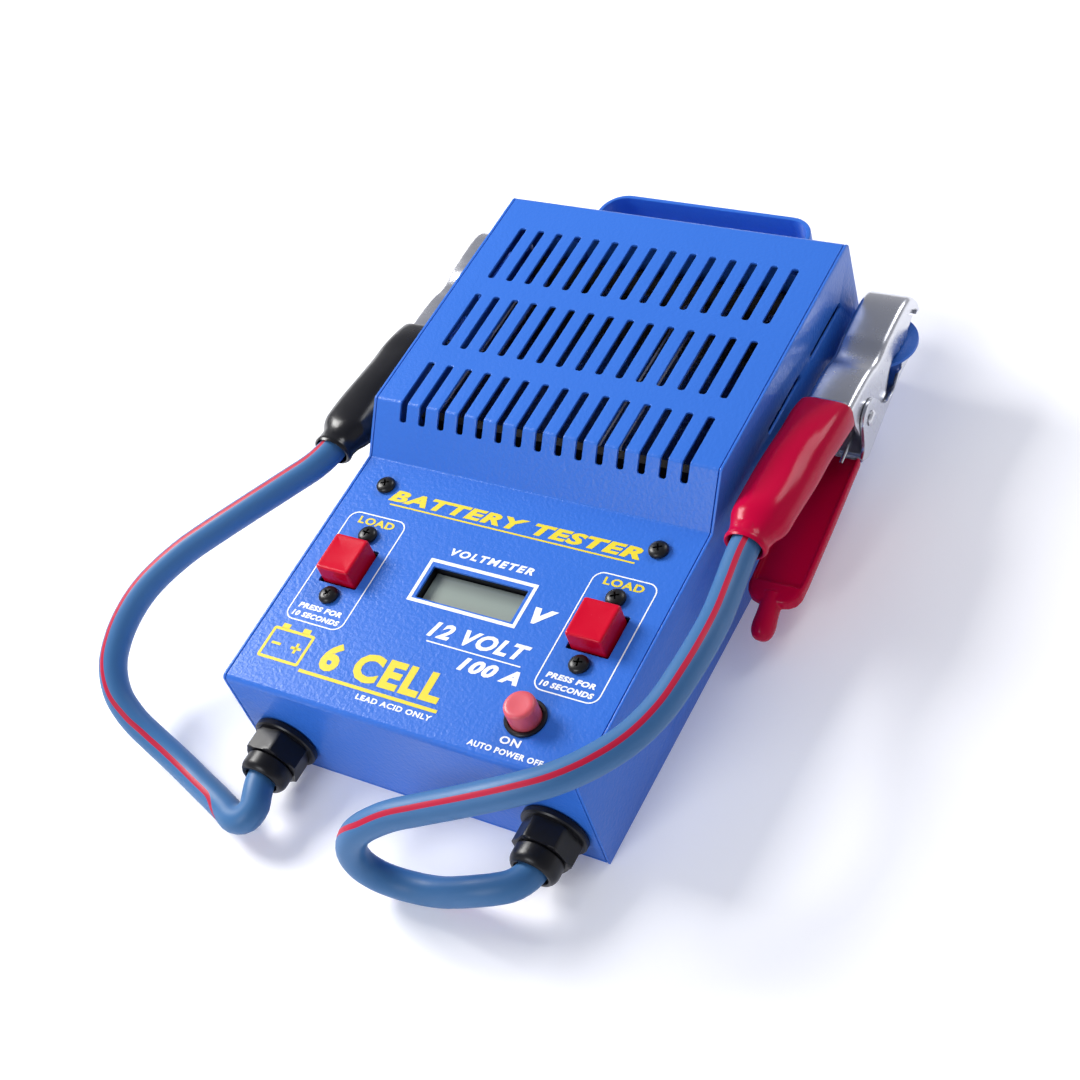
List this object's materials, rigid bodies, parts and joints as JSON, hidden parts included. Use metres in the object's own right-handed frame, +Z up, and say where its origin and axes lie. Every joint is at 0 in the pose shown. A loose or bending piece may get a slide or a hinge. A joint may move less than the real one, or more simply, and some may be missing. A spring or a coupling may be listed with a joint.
{
  "type": "battery tester",
  "caption": "Blue sheet-metal bench battery tester with a stepped slotted case, a small voltmeter, red load buttons and two clamp leads parked on side ears.",
  "frame": {"origin": "middle of the footprint of the case, glands and rear handle, on the surface it stands on", "axes": "+X to the right of someone facing the panel, +Y to the rear handle, +Z up"},
  "size_m": [0.2679, 0.3356, 0.076],
  "materials": {
    "blue_powder": "orange-peel powder coat",
    "black_nylon": "satin",
    "red_cap": "satin gloss",
    "pink_cap": "satin gloss",
    "red_dip": "glossy dipped vinyl",
    "black_dip": "glossy dipped vinyl",
    "zinc_steel": "bright zinc plate",
    "black_screw": "black oxide",
    "copper": null,
    "cable_blue": "satin with a thin red stripe",
    "display": "grey-green liquid crystal",
    "board_green": "solder resist",
    "ceramic": null
  },
  "bodies": {
    "case": {"base_tray": "blue_powder", "bus_bar_left": "copper", "bus_bar_right": "copper", "cable_left": "cable_blue", "cable_lug_left": "copper", "cable_lug_right": "copper", "cable_right": "cable_blue", "clamp_rivet_left": "zinc_steel", "clamp_rivet_right": "zinc_steel", "clamp_spring_left": "zinc_steel", "clamp_spring_right": "zinc_steel", "clamp_tab_left": "blue_powder", "clamp_tab_right": "blue_powder", "clamp_upper_jaw_left": "zinc_steel", "clamp_upper_jaw_right": "zinc_steel", "clamp_upper_sleeve_left": "black_dip", "clamp_upper_sleeve_right": "red_dip", "cover_post_left": "zinc_steel", "cover_post_right": "zinc_steel", "cover_shell": "blue_powder", "gland_body_left": "black_nylon", "gland_body_right": "black_nylon", "gland_locknut_left": "black_nylon", "gland_locknut_right": "black_nylon", "gland_nut_left": "black_nylon", "gland_nut_right": "black_nylon", "gland_seal_left": "black_nylon", "gland_seal_right": "black_nylon", "load_board_front": "ceramic", "load_board_rear": "ceramic", "load_strip_left": "zinc_steel", "load_strip_right": "zinc_steel", "load_switch_left": "black_nylon", "load_switch_right": "black_nylon", "meter_board": "board_green", "meter_display": "display", "meter_frame": "black_nylon", "panel_screw_left": "black_screw", "panel_screw_right": "black_screw", "power_switch": "black_nylon", "power_switch_nut": "zinc_steel", "rear_handle": "blue_powder", "switch_screw_left_lower": "black_screw", "switch_screw_left_upper": "black_screw", "switch_screw_right_lower": "black_screw", "switch_screw_right_upper": "black_screw"},
    "load_button_left": {"load_button_left": "red_cap"},
    "load_button_right": {"load_button_right": "red_cap"},
    "power_button": {"power_button": "pink_cap"},
    "clamp_lever_left": {"clamp_lower_jaw_left": "zinc_steel", "clamp_lower_sleeve_left": "black_dip"},
    "clamp_lever_right": {"clamp_lower_jaw_right": "zinc_steel", "clamp_lower_sleeve_right": "red_dip"}
  },
  "joints": [
    {"name": "press_load_left", "type": "slide", "parent": "case", "child": "load_button_left", "axis": [0, 0.0323, -0.9995], "range_m": [0, 0.004], "stiffness_N_per_m": 500, "springref_m": -0.002},
    {"name": "press_load_right", "type": "slide", "parent": "case", "child": "load_button_right", "axis": [0, 0.0323, -0.9995], "range_m": [0, 0.004], "stiffness_N_per_m": 500, "springref_m": -0.002},
    {"name": "press_power", "type": "slide", "parent": "case", "child": "power_button", "axis": [0, 0.0323, -0.9995], "range_m": [0, 0.002], "stiffness_N_per_m": 300, "springref_m": -0.002},
    {"name": "open_clamp_left", "type": "hinge", "parent": "case", "child": "clamp_lever_left", "pos_m": [-0.0954, 0.0679, 0.0371], "axis": [-1, 0, 0], "range_deg": [0, 20], "stiffness_Nm_per_rad": 1, "springref_deg": -20.05, "deforming": ["clamp_spring_left"]},
    {"name": "open_clamp_right", "type": "hinge", "parent": "case", "child": "clamp_lever_right", "pos_m": [0.0954, 0.0679, 0.0371], "axis": [-1, 0, 0], "range_deg": [0, 20], "stiffness_Nm_per_rad": 1, "springref_deg": -20.05, "deforming": ["clamp_spring_right"]}
  ]
}
